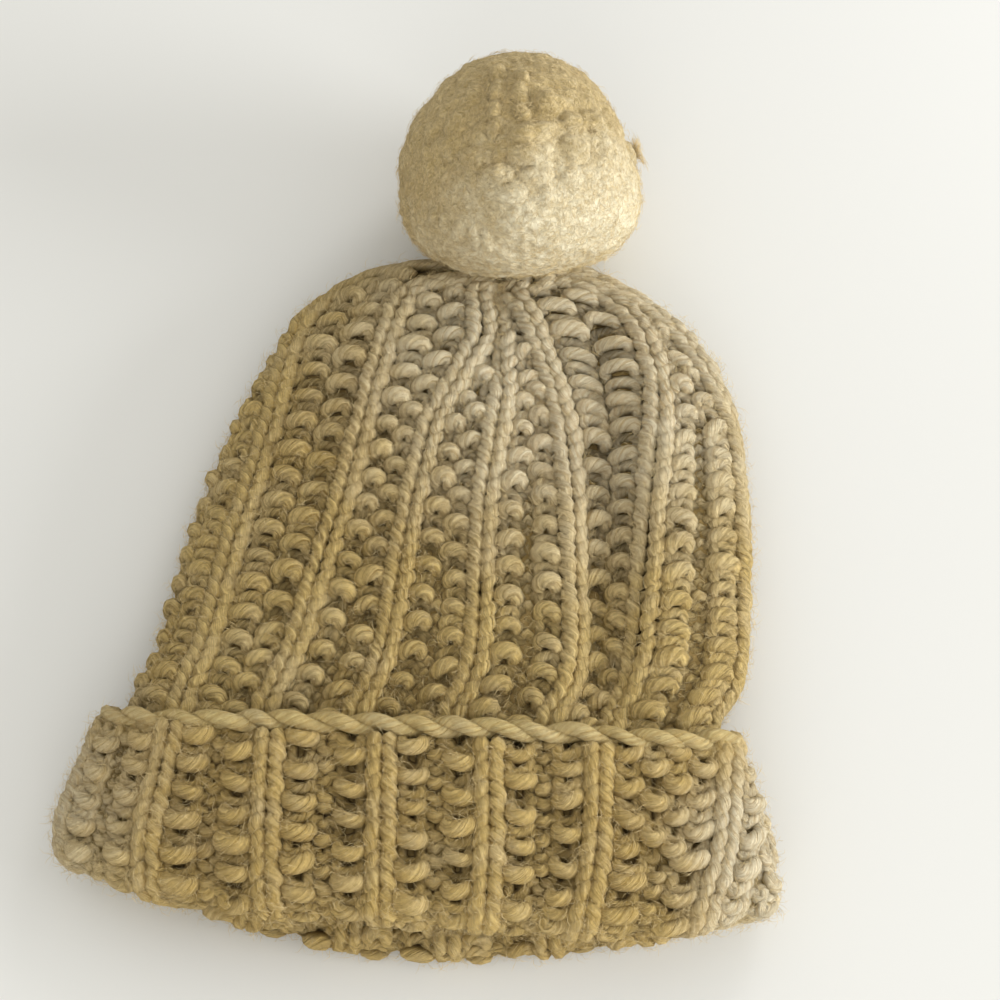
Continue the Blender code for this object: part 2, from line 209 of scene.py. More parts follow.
# How a loop of yarn lies: how far its head, its upper and lower legs and its feet stand out of
# the layer, how far it reaches along the column in rows, how far its legs sway apart and bulge,
# and how much thicker it is at its head and at its legs
LoopForm = namedtuple("LoopForm", "head upper lower foot reach sway bulge thick_head thick_leg")
KNIT_LOOP = LoopForm(-1.5, 0.35, 1.25, -1.3, 0.82, 0.215, 0.0, 0.0, 0.12)
PURL_LOOP = LoopForm(1.0, -1.0, -1.0, 0.8, 0.84, 0.150, 0.0, 0.0, 0.0)
RAISED_LOOP = LoopForm(1.25, 0.75, -1.0, -1.5, 0.31, 0.100, 0.105, 0.26, 0.02)
SUNK_LOOP = LoopForm(-1.15, -1.0, -1.3, -1.5, 0.52, 0.110, 0.080, 0.14, 0.0)

# Where the knit columns of the top layer lie, in repeats from the left side: on the crown at
# shares of its length above the cuff, on the cuff from its cast-on edge to its fold
CROWN_COLUMNS = (
    (0.00, 0.70, 1.66, 2.72, 3.80, 4.92, 5.66, 7.00),
    (0.10, 0.70, 1.68, 2.72, 3.78, 4.90, 5.66, 7.00),
    (0.45, 0.72, 1.88, 2.70, 3.56, 4.60, 5.72, 6.94),
    (0.60, 0.66, 1.87, 2.74, 3.58, 4.48, 5.76, 6.90),
    (0.78, 0.36, 1.82, 3.22, 3.66, 4.18, 5.92, 6.62),
    (0.89, 0.18, 1.76, 3.18, 3.62, 4.06, 6.10, 6.55),
    (1.00, 0.18, 1.80, 3.18, 3.62, 4.06, 6.10, 6.60),
)
CUFF_COLUMNS = (
    (0.00, 0.90, 1.96, 3.12, 4.22, 5.36, 6.78),
    (1.00, 1.07, 2.20, 3.23, 4.19, 5.09, 6.20),
)

Ring = namedtuple("Ring", "y x half_width low high bow slant slope top_bend low_bend lag")


def ease(t):
    """From 0 to 1, gently at both ends."""
    t = np.clip(t, 0, 1)
    return t * t * (3 - 2 * t)


def unit(vectors):
    """The vectors at length 1."""
    return vectors / np.maximum(np.linalg.norm(vectors, axis=-1, keepdims=True), 1e-12)


def square_to(vectors, others):
    """The direction of the part of each vector that is square to the other one."""
    return unit(vectors - (vectors * others).sum(axis=-1, keepdims=True) * others)


def run_along(points):
    """How far along a line of points each one lies."""
    return np.concatenate([[0], np.cumsum(np.linalg.norm(np.diff(points, axis=0), axis=1))])


def closed_rows(grid):
    """Faces between the rows of a grid, whose rows are closed, and from its last row to its first."""
    row_count, count = grid.shape[:2]
    index = np.arange(row_count * count).reshape(row_count, count)
    above = np.roll(index, -1, axis=0)
    faces = [index, np.roll(index, -1, axis=1), np.roll(above, -1, axis=1), above]
    return np.stack(faces, axis=-1).reshape(-1, 4)


def put_piece(name, verts, faces, material, node):
    """Makes a piece that stands for a node. What would sink into the floor is pressed flat on it."""
    verts[:, 2] = np.maximum(verts[:, 2], GROUND)
    mesh = bpy.data.meshes.new(name)
    mesh.from_pydata(verts, [], faces)
    mesh.shade_smooth()
    mesh.materials.append(material)
    piece = bpy.data.objects.new(name, mesh)
    bpy.context.scene.collection.objects.link(piece)
    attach(piece, "root")
    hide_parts(node)
    return piece


def mark_openness(mesh, openness):
    """Stores how open each vertex lies, which the materials darken crevices by as painted shade."""
    layer = mesh.attributes.new("openness", "FLOAT", "POINT")
    layer.data.foreach_set("value", openness.astype(np.float32))


def cuff_ring(row):
    """A ring of the crown's tube where the cuff wraps it."""
    straight = CUFF_HEIGHT - EDGE_WIDTH - GAP - LIP_RADIUS
    return Ring(
        y=LIP_RADIUS + row.along * straight, x=row.aside * BRIM_WIDTH,
        half_width=row.width * BRIM_WIDTH / 2 - CUFF_LAYER,
        low=CUFF_LAYER, high=CUFF_LAYER + BRIM_DEPTH,
        bow=row.bow * BRIM_BOW, slant=row.slant * BRIM_SLANT, slope=0.0,
        top_bend=TOP_BEND, low_bend=LOW_BEND, lag=LOW_LAG,
    )


def crown_ring(row):
    return Ring(
        y=CUFF_HEIGHT + row.along * CROWN_LENGTH, x=row.aside * CROWN_WIDTH,
        half_width=row.width * CROWN_WIDTH / 2,
        low=row.lift * CUFF_LAYER, high=row.top * CROWN_DEPTH,
        bow=row.bow * BRIM_BOW, slant=0.0, slope=math.tan(row.lean * BOBBLE_LEAN),
        top_bend=CROWN_BEND, low_bend=CROWN_BEND, lag=0.0,
    )


def dent_depth(x, y):
    """How far the top layer is pressed in at a place."""
    depth = np.zeros(np.broadcast(x, y).shape)
    for dent in DENTS:
        across = (x - dent.aside * CROWN_WIDTH) / (dent.half_width * CROWN_WIDTH)
        along = (y - CUFF_HEIGHT - dent.along * CROWN_LENGTH) / (dent.half_length * CROWN_LENGTH)
        fall_across = np.cos(np.clip(across, -1, 1) * math.pi / 2) ** 2
        fall_along = 1 - np.clip(np.abs(along), 0, 1) ** 4
        depth += dent.depth * CROWN_DEPTH * fall_across * fall_along
    return depth


def ring_outline(ring, turns, grow):
    """Points of a ring at the given turns: turns start at -X and go over the top."""
    angle = math.pi - 2 * math.pi * turns
    cosine, sine = np.cos(angle), np.sin(angle)
    rounding = np.where(sine >= 0, TOP_ROUNDING, BOTTOM_ROUNDING)
    across = np.sign(cosine) * np.abs(cosine) ** (2 / rounding)
    upward = np.sign(sine) * np.abs(sine) ** (2 / rounding)
    middle = ring.low + WIDEST_LEVEL * (ring.high - ring.low)
    above = ring.high - middle + grow
    below = (middle - ring.low) * FLAT_FOOT + grow
    x = ring.x + (ring.half_width + grow) * across
    z = middle + np.where(sine >= 0, above, below) * upward
    z = np.maximum(z, ring.low - grow)
    bend = np.where(sine >= 0, ring.top_bend, ring.low_bend)
    lag = np.where(sine >= 0, 0.0, ring.lag)
    lead = ring.bow * (lag + (1 - lag) * np.abs(across) ** bend)
    y = ring.y + lead - ring.slant * across - ring.slope * (z - middle)
    z = z - dent_depth(x, y) * np.clip(upward, 0, 1)
    return np.stack([x, y, z], axis=-1)


def even_turns(ring, places):
    """The turns at which a ring has the given shares of its length behind it."""
    dense = np.linspace(0, 1, 1801)
    run = run_along(ring_outline(ring, dense, 0.0))
    return np.interp(np.asarray(places) % 1.0, run / run[-1], dense)


def between_rings(rings, count):
    """The rings with smooth steps between them: count of them, at about even distances."""
    table = np.array(rings, float)
    spots = table[:, [0, 2, 4]] + np.outer(table[:, 5] / 2, [1, 0, 0])
    reach = run_along(spots)
    wanted = np.linspace(0, reach[-1], count)
    fields = np.stack([np.interp(wanted, reach, column) for column in table.T], axis=1)
    spread = max(1, int(count * 0.004 / reach[-1]))
    for _ in range(3):
        padded = np.concatenate([fields[:1].repeat(spread, 0), fields, fields[-1:].repeat(spread, 0)])
        total = np.cumsum(np.concatenate([np.zeros((1, fields.shape[1])), padded]), axis=0)
        window = 2 * spread + 1
        fields = (total[window:] - total[:-window]) / window
    return [Ring(*row) for row in fields]


class Cloth:
    """A layer of knitting: a fine grid of points, evenly turned round and evenly spaced along."""

    AROUND = 700
    UPPER_SIDE = slice(int(AROUND * 0.08), int(AROUND * 0.42))

    def __init__(self, layers, downward=False, shape=None):
        """layers are (ring, grow) pairs along the fabric: downward if they start at its top. shape
        moves the points, if given."""
        places = np.arange(self.AROUND) / self.AROUND
        grid = []
        for ring, grow in layers:
            turns = even_turns(ring, places)
            grid.append(ring_outline(ring, turns, grow) - HAT_MIDDLE)
        grid = np.array(grid)
        if shape:
            grid = shape(grid)
        upper = grid[:, self.UPPER_SIDE]
        steps = np.linalg.norm(np.diff(upper, axis=0), axis=2).mean(axis=1)
        self.reach = np.concatenate([[0], np.cumsum(steps)])
        self.length = self.reach[-1]
        self.grid = grid
        around = np.roll(grid, -1, axis=1) - np.roll(grid, 1, axis=1)
        along = np.gradient(grid, axis=0)
        self.out = unit(np.cross(along, around) if downward else np.cross(around, along))

    def girth(self, reach):
        """How far it is round the layer at a distance along it."""
        rows = np.interp(reach, self.reach, np.arange(len(self.grid)))
        ring = self.grid[int(round(float(rows)))]
        return np.linalg.norm(np.roll(ring, -1, axis=0) - ring, axis=1).sum()

    def sample(self, field, share, reach):
        """The values of a field at shares round the layer and at distances along it."""
        across = (np.asarray(share) % 1.0) * self.AROUND
        row = np.interp(reach, self.reach, np.arange(len(self.grid)))
        low_row = np.clip(row.astype(int), 0, len(self.grid) - 2)
        low_col = across.astype(int) % self.AROUND
        high_col = (low_col + 1) % self.AROUND
        up = (row - low_row)[:, None]
        over = (across - across.astype(int))[:, None]
        near = field[low_row, low_col] * (1 - over) + field[low_row, high_col] * over
        far = field[low_row + 1, low_col] * (1 - over) + field[low_row + 1, high_col] * over
        return near * (1 - up) + far * up

    def place(self, share, reach, out):
        """Points off the layer, and its outward directions there."""
        normal = unit(self.sample(self.out, share, reach))
        return self.sample(self.grid, share, reach) + normal * np.asarray(out)[:, None], normal


def tube_rings(points, normals, radii, rises):
    """A closed tube round a closed line: its vertices, their spokes, how far along the line each
    ring is, and how open each vertex lies, from 0 deep in a crevice to 1 out in the light: the materials
    darken the low end as painted shade."""
    ahead = unit(np.roll(points, -1, axis=0) - np.roll(points, 1, axis=0))
    out = square_to(normals, ahead)
    side = np.cross(ahead, out)
    angles = 2 * math.pi * (np.arange(YARN_SIDES) / YARN_SIDES + 0.5)
    spokes = (np.cos(angles)[None, :, None] * out[:, None, :]
              + np.sin(angles)[None, :, None] * side[:, None, :])
    verts = points[:, None, :] + radii[:, None, None] * spokes
    run = run_along(points)
    facing = np.cos(angles)[None, :]
    height = rises[:, None] + radii[:, None] * facing
    # Painted shade: wool sunk in the layer, and the sides of each strand that turn away, get less
    # openness, so the materials paint them darker.
    raised = ease((height - CREVICE_FLOOR) / (OPEN_HEIGHT - CREVICE_FLOOR))
    openness = raised * (0.25 + 0.75 * ease((facing + 0.35) / 1.1))
    return verts, spokes, run, openness


class YarnMesh:
    """Gathers tubes of yarn into one mesh."""

    def __init__(self):
        self.verts = []
        self.faces = []
        self.uvs = []
        self.openness = []
        self.spokes = []
        self.start = 0

    def triangles(self):
        return sum(len(faces) for faces in self.faces) * 2

    def add(self, points, normals, radii, rises):
        """Adds a closed loop of yarn. UV: U once round the yarn, V along it in centimetres."""
        verts, spokes, run, openness = tube_rings(points, normals, radii, rises)
        self.faces.append(closed_rows(verts) + self.start)
        side = np.arange(YARN_SIDES)
        ends = np.append(run[1:], run[-1] + np.linalg.norm(points[0] - points[-1]))
        corners = (side, run), (side + 1, run), (side + 1, ends), (side, ends)
        corners = [np.broadcast_arrays(u / YARN_SIDES, v[:, None] * 100) for u, v in corners]
        self.uvs.append(np.stack([np.stack(c, axis=-1) for c in corners], axis=-2).reshape(-1, 2))
        self.verts.append(verts.reshape(-1, 3))
        self.spokes.append(spokes.reshape(-1, 3))
        self.openness.append(openness.ravel())
        self.start += len(points) * YARN_SIDES

    def build(self, name, material, node, slot):
        faces = np.concatenate(self.faces)
        mesh = put_piece(name, np.concatenate(self.verts), faces, material, node).data
        layer = mesh.uv_layers.new(name="yarn")
        layer.uv.foreach_set("vector", np.concatenate(self.uvs).astype(np.float32).ravel())
        mark_openness(mesh, np.concatenate(self.openness))


def gaps_between(places):
    """The gaps from each knit column to the next one, in repeats."""
    return np.append(places[1:], places[0] + REPEATS) - places


def column_places(table, along):
    """Places of the knit columns, in repeats, at shares of the way. Those that the table leaves out
    are spread evenly over the lower layer."""
    table = np.array(table)
    named = table.shape[1] - 1
    columns = [np.interp(along, table[:, 0], table[:, n + 1]) for n in range(named)]
    moved = np.stack(columns, axis=-1)
    step = (moved[..., :1] + REPEATS - moved[..., -1:]) / (REPEATS - named + 1)
    rest = moved[..., -1:] + step * np.arange(1, REPEATS - named + 1)
    return np.concatenate([moved, rest], axis=-1)


# The stitches between two knit columns, by how many are left: kind and share of the room
BETWEEN = {
    4: (("bump", 0.28), ("late bump", 0.22), ("bump", 0.22), ("late bump", 0.28)),
    3: (("bump", 0.39), ("purl", 0.22), ("late bump", 0.39)),
    2: (("bump", 0.5), ("late bump", 0.5)),
    1: (("bump", 1.0),),
    0: (),
}
# The room from which 1, 2, 3 and 4 columns of stitches fit between two knit columns
ROOM_FOR = (0.0037, 0.0088, 0.0180, 0.0335)
# How far each kind of column stands out of the layer
CROWN_STAND = {"knit": 0.0010, "bump": 0.0002, "purl": -0.0024, "late bump": 0.0002}
CUFF_STAND = {"knit": 0.0008, "bump": 0.0003, "purl": -0.0014, "late bump": 0.0003}


def loop_form(kind, row):
    """How the loop of a column between knit ones lies in a row: bumps come every other row."""
    if kind == "purl":
        return PURL_LOOP
    return RAISED_LOOP if (row + (kind == "late bump")) % 2 == 0 else SUNK_LOOP


def even_rows(first, last, height):
    """Rows from one reach to another, as pairs of reach and row height."""
    count = max(1, round((last - first) / height))
    step = (last - first) / count
    return [(first + step * row, step) for row in range(count)]


def lay_rows(cloth, rows, places_of, stands, loose, seed):
    """Lays rows of stitches over a layer. Yields points, normals, radii and rises of each row. The
    columns that are left between two knit columns only ever get fewer."""
    chance = np.random.default_rng(seed)
    left = [max(BETWEEN)] * REPEATS
    for number, (reach, height) in enumerate(rows):
        gaps = gaps_between(places_of(reach))
        room = gaps / REPEATS * cloth.girth(min(reach, cloth.length)) - KNIT_COLUMN
        left = np.minimum(left, np.digitize(room, ROOM_FOR))
        yield lay_row(cloth, number, reach, height, places_of, left, stands, loose, chance)


Stitch = namedtuple("Stitch", "repeat spot width stand form")


def stitches_of(row, gaps, knit_share, left, stands):
    """The stitches of a row in their order: each repeat starts with its knit column."""
    stitches = []
    for n in range(REPEATS):
        knit_width = min(knit_share, (gaps[n] + gaps[n - 1]) / 2)
        stitches.append(Stitch(n, 0.0, knit_width, stands["knit"], KNIT_LOOP))
        room = gaps[n] - knit_share
        run = knit_share / 2
        for kind, share in BETWEEN[left[n]]:
            spot = (run + room * share / 2) / gaps[n]
            stitches.append(Stitch(n, spot, room * share, stands[kind], loop_form(kind, row)))
            run += room * share
    return stitches


def share_round(places, stitch, phi, wide):
    """How far round the layer each point of a stitch lies."""
    start = places[:, stitch.repeat]
    following = (stitch.repeat + 1) % REPEATS
    gap = places[:, following] + (REPEATS if following == 0 else 0) - start
    spread = stitch.form.sway * np.sin(2 * phi) + stitch.form.bulge * np.sin(phi)
    offset = stitch.width * (phi / (2 * math.pi) + spread) * wide
    return (start + stitch.spot * gap + offset) / REPEATS


def loop_height(form, foot, away):
    """How far a loop stands out, from its head, where away is 0, to its feet, where it is 1."""
    head = form.head + (form.upper - form.head) * ease(away * 3)
    leg = form.upper + (form.lower - form.upper) * ease(away * 3 - 1)
    end = form.lower + (foot - form.lower) * ease(away * 3 - 2)
    return np.where(away < 1 / 3, head, np.where(away < 2 / 3, leg, end))


def lay_row(cloth, row, centre_reach, row_height, places_of, left, stands, loose, chance):
    """One closed course of yarn, the more uneven the looser it is."""
    knit_share = KNIT_COLUMN / cloth.girth(min(centre_reach, cloth.length)) * REPEATS
    places = places_of(centre_reach)
    gaps = gaps_between(places)
    stitches = stitches_of(row, gaps, knit_share, left, stands)
    count = len(stitches)
    flat = min(1.0, row_height / CUFF_ROW) ** 1.5
    # Painted shade: the yarn near the cloth's end, under the bobble and deep in the mouth, is set lower
    # so that it is painted darker.
    shaded = DEEP_SHADE * ease((centre_reach - cloth.length + SHADED_LENGTH) / SHADED_LENGTH)
    strays = chance.normal(0, UNEVEN.place * loose, count)
    stands_off = chance.normal(0, UNEVEN.stand * loose, count)
    thicknesses = chance.normal(1, UNEVEN.thickness, count)
    widths = chance.uniform(1 - UNEVEN.width, 1 + UNEVEN.width, count)
    leans = chance.normal(0, UNEVEN.lean * loose, count)
    parts = []
    for n, stitch in enumerate(stitches):
        before, after, form = stitches[n - 1], stitches[(n + 1) % count], stitch.form
        centre = (places[stitch.repeat] + stitch.spot * gaps[stitch.repeat]) / REPEATS
        steps = FRONT_STEPS if centre % 1.0 < FRONT_SHARE else BACK_STEPS
        phi = -math.pi + 2 * math.pi * np.arange(steps) / steps
        at_head = np.cos(phi / 2) ** 2
        away = np.abs(phi) / math.pi
        firmness = RIB_FIRMNESS if form is KNIT_LOOP else 1.0
        stray = (strays[n] + leans[n] * np.sin(phi)) * at_head * firmness
        loop_reach = form.reach * (loose if form is RAISED_LOOP else 1.0)
        reach = centre_reach + (loop_reach * np.cos(phi) + stray) * row_height
        share = share_round(places_of(reach), stitch, phi, widths[n])
        foot = (form.foot + np.where(phi < 0, before.form.foot, after.form.foot)) / 2
        neighbour = np.where(phi < 0, before.stand, after.stand)
        mix = 0.5 * ease(away * 2 - 1)
        calm = (1 - 0.5 * abs(math.cos(2 * math.pi * centre)) ** 8) * flat
        out = LAYER_REACH * calm * loop_height(form, foot, away)
        out = out + stitch.stand * (1 - mix) + neighbour * mix + stands_off[n] * at_head
        points, normals = cloth.place(share, reach, out)
        thick = 1 + form.thick_head * at_head ** 2 + form.thick_leg * np.sin(phi) ** 2
        parts.append((points, normals, YARN_RADIUS * thicknesses[n] * thick, out - shaded))
    points, normals, radii, rises = (np.concatenate(part) for part in zip(*parts))
    radii = sum(np.roll(radii, step) for step in (2, 1, 0, -1, -2)) / 5
    points = (np.roll(points, 1, axis=0) + 2 * points + np.roll(points, -1, axis=0)) / 4
    return points, normals, radii, rises


def as_pieces(name, rows, material, node, slot):
    """Joins rows of yarn into pieces, each under the limit of triangles."""
    pieces = [YarnMesh()]
    for row in rows:
        if pieces[-1].triangles() + 2 * len(row[0]) * YARN_SIDES > PIECE_TRIANGLES:
            pieces.append(YarnMesh())
        pieces[-1].add(*row)
    for n, piece in enumerate(pieces):
        piece.build(f"{name}_{n + 1}", material, node, slot)
    return pieces


class FuzzMesh:
    """Gathers single hairs that stand off the wool: closed needles with a bend in the middle."""

    def __init__(self, seed):
        self.chance = np.random.default_rng(seed)
        self.verts = []

    def add(self, roots, normals, hairs, odds):
        """Adds hairs at roots chosen by their odds: lift is from 0 lying flat to 1 upright."""
        chosen = self.chance.choice(len(roots), hairs.count, p=odds / odds.sum())
        roots, normals = roots[chosen], normals[chosen]
        count = hairs.count
        chance = self.chance
        flat = square_to(chance.normal(size=(count, 3)), normals)
        raised = np.clip(chance.normal(hairs.lift, 0.25, (count, 1)), 0.02, 1.4)
        first = unit(flat + raised * normals)
        swerve = np.cross(normals, flat) * chance.normal(0, 0.7, (count, 1))
        second = unit(flat * 0.9 + swerve + normals * (raised * 0.3 - 0.25))
        reach = hairs.length * chance.uniform(0.4, 1.5, (count, 1))
        middle = roots + first * reach * 0.5
        tip = middle + second * reach * 0.5
        along = unit(first + second)
        side = unit(np.cross(along, normals + 0.01))
        other = np.cross(along, side)
        radius = HAIR_RADIUS * chance.uniform(0.7, 1.3, (count, 1))
        ring = [middle + radius * (math.cos(a) * side + math.sin(a) * other)
                for a in (0, 2 * math.pi / 3, 4 * math.pi / 3)]
        root = roots - first * reach * 0.1
        self.verts.append(np.stack([root, *ring, tip], axis=1))

    def build(self, name, material, node, slot):
        verts = np.concatenate(self.verts)
        sunk = GROUND - verts[:, :, 2].min(axis=1, keepdims=True)
        verts[:, :, 2] += np.maximum(sunk, 0)
        needle = np.array([(0, 2, 1), (0, 3, 2), (0, 1, 3), (4, 1, 2), (4, 2, 3), (4, 3, 1)])
        faces = np.arange(len(verts))[:, None, None] * 5 + needle
        put_piece(name, verts.reshape(-1, 3), faces.reshape(-1, 3), material, node)


def fuzz_on_yarn(name, pieces, hairs, node, slot, seed):
    """Hairs on the open side of the yarn."""
    verts = np.concatenate([v for piece in pieces for v in piece.verts])
    spokes = np.concatenate([v for piece in pieces for v in piece.spokes])
    openness = np.concatenate([v for piece in pieces for v in piece.openness])
    fuzz = FuzzMesh(seed)
    fuzz.add(verts, spokes, hairs, openness ** 2)
    fuzz.build(name, HAIR, node, slot)


# Materials


class Recipe:
    """The nodes of a material or a node group, added and joined step by step."""

    def __init__(self, tree):
        self.nodes = tree.nodes
        self.links = tree.links
        self.place = self.nodes.new("ShaderNodeTexCoord").outputs["Object"]

    def feed(self, socket, value):
        """Puts a number, a colour or what another node gives into a socket."""
        if isinstance(value, bpy.types.NodeSocket):
            self.links.new(value, socket)
        else:
            socket.default_value = (*value, 1) if isinstance(value, tuple) else value

    def maths(self, operation, *values):
        node = self.nodes.new("ShaderNodeMath")
        node.operation = operation
        for socket, value in zip(node.inputs, values):
            self.feed(socket, value)
        return node.outputs[0]

    def noise(self, scale, detail, roughness=0.5, distortion=0.0, place=None):
        node = self.nodes.new("ShaderNodeTexNoise")
        self.feed(node.inputs["Vector"], self.place if place is None else place)
        node.inputs["Scale"].default_value = scale
        node.inputs["Detail"].default_value = detail
        node.inputs["Roughness"].default_value = roughness
        node.inputs["Distortion"].default_value = distortion
        return node.outputs["Fac"]

    def blend(self, factor, first, second):
        node = self.nodes.new("ShaderNodeMix")
        node.data_type = "RGBA"
        for name, value in (("Factor", factor), ("A", first), ("B", second)):
            self.feed(node.inputs[name], value)
        return node.outputs["Result"]

    def spread(self, value, low, high):
        """How far a value is on its way from low to high, from 0 to 1."""
        node = self.nodes.new("ShaderNodeMapRange")
        node.inputs["From Min"].default_value = low
        node.inputs["From Max"].default_value = high
        self.feed(node.inputs["Value"], value)
        return node.outputs["Result"]

    def openness(self):
        node = self.nodes.new("ShaderNodeAttribute")
        node.attribute_name = "openness"
        return node.outputs["Fac"]

    def vector_maths(self, operation, vector):
        node = self.nodes.new("ShaderNodeVectorMath")
        node.operation = operation
        node.inputs[1].default_value = vector
        self.feed(node.inputs[0], self.place)
        return node.outputs["Value"]


# Where painted highlights make the wool pale: the middle of each patch, and how far off it starts and is
# full
HighlightPatch = namedtuple("HighlightPatch", "middle far near")
HIGHLIGHT_TOP = HighlightPatch((0.050, 0.058, 0.030), 0.108, 0.030)
HIGHLIGHT_RIGHT = HighlightPatch((0.130, -0.135, 0.025), 0.055, 0.027)
HIGHLIGHT_LEFT = HighlightPatch((-0.128, -0.120, 0.020), 0.055, 0.0)


def wool_group():
    """Twisted, hairy yarn, in the UV that the yarn mesh has."""
    group = bpy.data.node_groups.new("plied_wool", "ShaderNodeTree")
    for name in ("Light", "Dark", "Crevice Shade", "Highlight", "Highlight Dark"):
        group.interface.new_socket(name=name, in_out="INPUT", socket_type="NodeSocketColor")
    group.interface.new_socket(name="Turn Length", in_out="INPUT", socket_type="NodeSocketFloat")
    group.interface.new_socket(name="Color", in_out="OUTPUT", socket_type="NodeSocketColor")
    group.interface.new_socket(name="Height", in_out="OUTPUT", socket_type="NodeSocketFloat")
    recipe = Recipe(group)
    maths, noise, spread, blend = recipe.maths, recipe.noise, recipe.spread, recipe.blend
    given = recipe.nodes.new("NodeGroupInput").outputs
    put = recipe.nodes.new("NodeGroupOutput").inputs
    uv = recipe.nodes.new("ShaderNodeUVMap")
    uv.uv_map = "yarn"
    split = recipe.nodes.new("ShaderNodeSeparateXYZ")
    recipe.feed(split.inputs[0], uv.outputs["UV"])
    around, along = split.outputs["X"], split.outputs["Y"]
    turned = maths("ADD", around, maths("DIVIDE", along, given["Turn Length"]))
    angle = maths("MULTIPLY", turned, 2 * math.pi)
    cosine = maths("COSINE", angle)
    sine = maths("SINE", angle)

    def streaks(fineness, stretch, detail, shift):
        """Noise drawn out along the turned plies."""
        vector = recipe.nodes.new("ShaderNodeCombineXYZ")
        recipe.feed(vector.inputs[0], maths("MULTIPLY", cosine, fineness))
        recipe.feed(vector.inputs[1], maths("MULTIPLY", sine, fineness))
        recipe.feed(vector.inputs[2], maths("MULTIPLY_ADD", along, stretch, shift))
        return noise(1.0, detail, 0.6, place=vector.outputs[0])

    plies = maths("ABSOLUTE", maths("SINE", maths("MULTIPLY", angle, 2.5)))
    bundles = streaks(2.6, 0.8, 2.0, 0.0)
    hairs = streaks(9.0, 1.9, 3.0, 7.3)
    height = maths("MULTIPLY_ADD", bundles, 0.8, maths("MULTIPLY", plies, 0.38))
    height = maths("MULTIPLY_ADD", hairs, 1.1, height)
    tone = maths("MULTIPLY", noise(22.0, 3.0), 0.55)
    for part, weight in ((hairs, 0.9), (bundles, 1.0), (plies, 0.28), (noise(900.0, 2.0), 0.5)):
        tone = maths("MULTIPLY_ADD", part, weight, tone)
    colour = blend(spread(tone, 1.28, 1.96), given["Dark"], given["Light"])
    # Painted highlights: paler patches on the crown's top and at the cuff's right and left ends, laid
    # only on yarn that lies open.
    top, right, left = (spread(recipe.vector_maths("DISTANCE", patch.middle), patch.far, patch.near)
                        for patch in (HIGHLIGHT_TOP, HIGHLIGHT_RIGHT, HIGHLIGHT_LEFT))
    patches = maths("MAXIMUM", top, maths("MAXIMUM", right, left))
    openness = recipe.openness()
    highlit_share = maths("MULTIPLY_ADD", noise(70.0, 3.0), 0.9, patches)
    highlit_share = maths("MULTIPLY", highlit_share, spread(openness, 0.0, 0.55))
    highlight_colour = blend(spread(tone, 1.32, 1.84), given["Highlight Dark"], given["Highlight"])
    colour = blend(spread(highlit_share, 0.42, 1.30), colour, highlight_colour)
    # Painted shade: the colour goes to the crevice shade colour where the yarn lies low or turns away.
    unshaded = maths("MULTIPLY_ADD", noise(400.0, 2.0), 0.30, openness)
    colour = blend(spread(unshaded, 0.16, 0.92), given["Crevice Shade"], colour)
    recipe.feed(put["Color"], colour)
    recipe.feed(put["Height"], height)
    return group


WARM_SHEEN = (1.0, 0.88, 0.66)


def matt_wool(name, roughness, specular, sheen, sheen_tint=WARM_SHEEN):
    """A matt, slightly fuzzy material: itself, its shader and its recipe of nodes."""
    material = bpy.data.materials.new(name)
    material.use_nodes = True
    shader = material.node_tree.nodes["Principled BSDF"]
    shader.inputs["Roughness"].default_value = roughness
    shader.inputs["Specular IOR Level"].default_value = specular
    shader.inputs["Sheen Weight"].default_value = sheen
    shader.inputs["Sheen Tint"].default_value = (*sheen_tint, 1)
    return material, shader, Recipe(material.node_tree)


def finish_wool(recipe, shader, colour, height, depth):
    """Joins the colour to the shader, and the height as a relief of a depth in metres."""
    relief = recipe.nodes.new("ShaderNodeBump")
    relief.inputs["Distance"].default_value = depth
    recipe.feed(relief.inputs["Height"], height)
    recipe.feed(shader.inputs["Base Color"], colour)
    recipe.feed(shader.inputs["Normal"], relief.outputs["Normal"])


def yarn_material(name, light, dark, crevice):
    material, shader, recipe = matt_wool(name, 0.92, 0.12, 0.20)
    shader.inputs["Sheen Roughness"].default_value = 0.6
    wool = recipe.nodes.new("ShaderNodeGroup")
    wool.node_tree = WOOL
    wool.inputs["Turn Length"].default_value = 1.6
    # Light and dark are the yarn's own tones, the crevice colour is painted shade, and the last two are
    # the pale tones of the painted highlights.
    for socket, colour in (("Light", light), ("Dark", dark), ("Crevice Shade", crevice),
                           ("Highlight", (1.0, 0.88, 0.62)), ("Highlight Dark", (0.74, 0.56, 0.30))):
        wool.inputs[socket].default_value = (*colour, 1)
    finish_wool(recipe, shader, wool.outputs["Color"], wool.outputs["Height"], 0.0020)
    return material


def plain_wool(name, light, dark, scale, bump):
    """Wool with no yarn to follow: loose hairs, or a backing that hardly shows."""
    material, shader, recipe = matt_wool(name, 0.95, 0.1, 0.3)
    fine = recipe.noise(scale, 6.0, 0.7)
    colour = recipe.blend(recipe.spread(fine, 0.35, 0.65), dark, light)
    finish_wool(recipe, shader, colour, fine, bump)
    return material


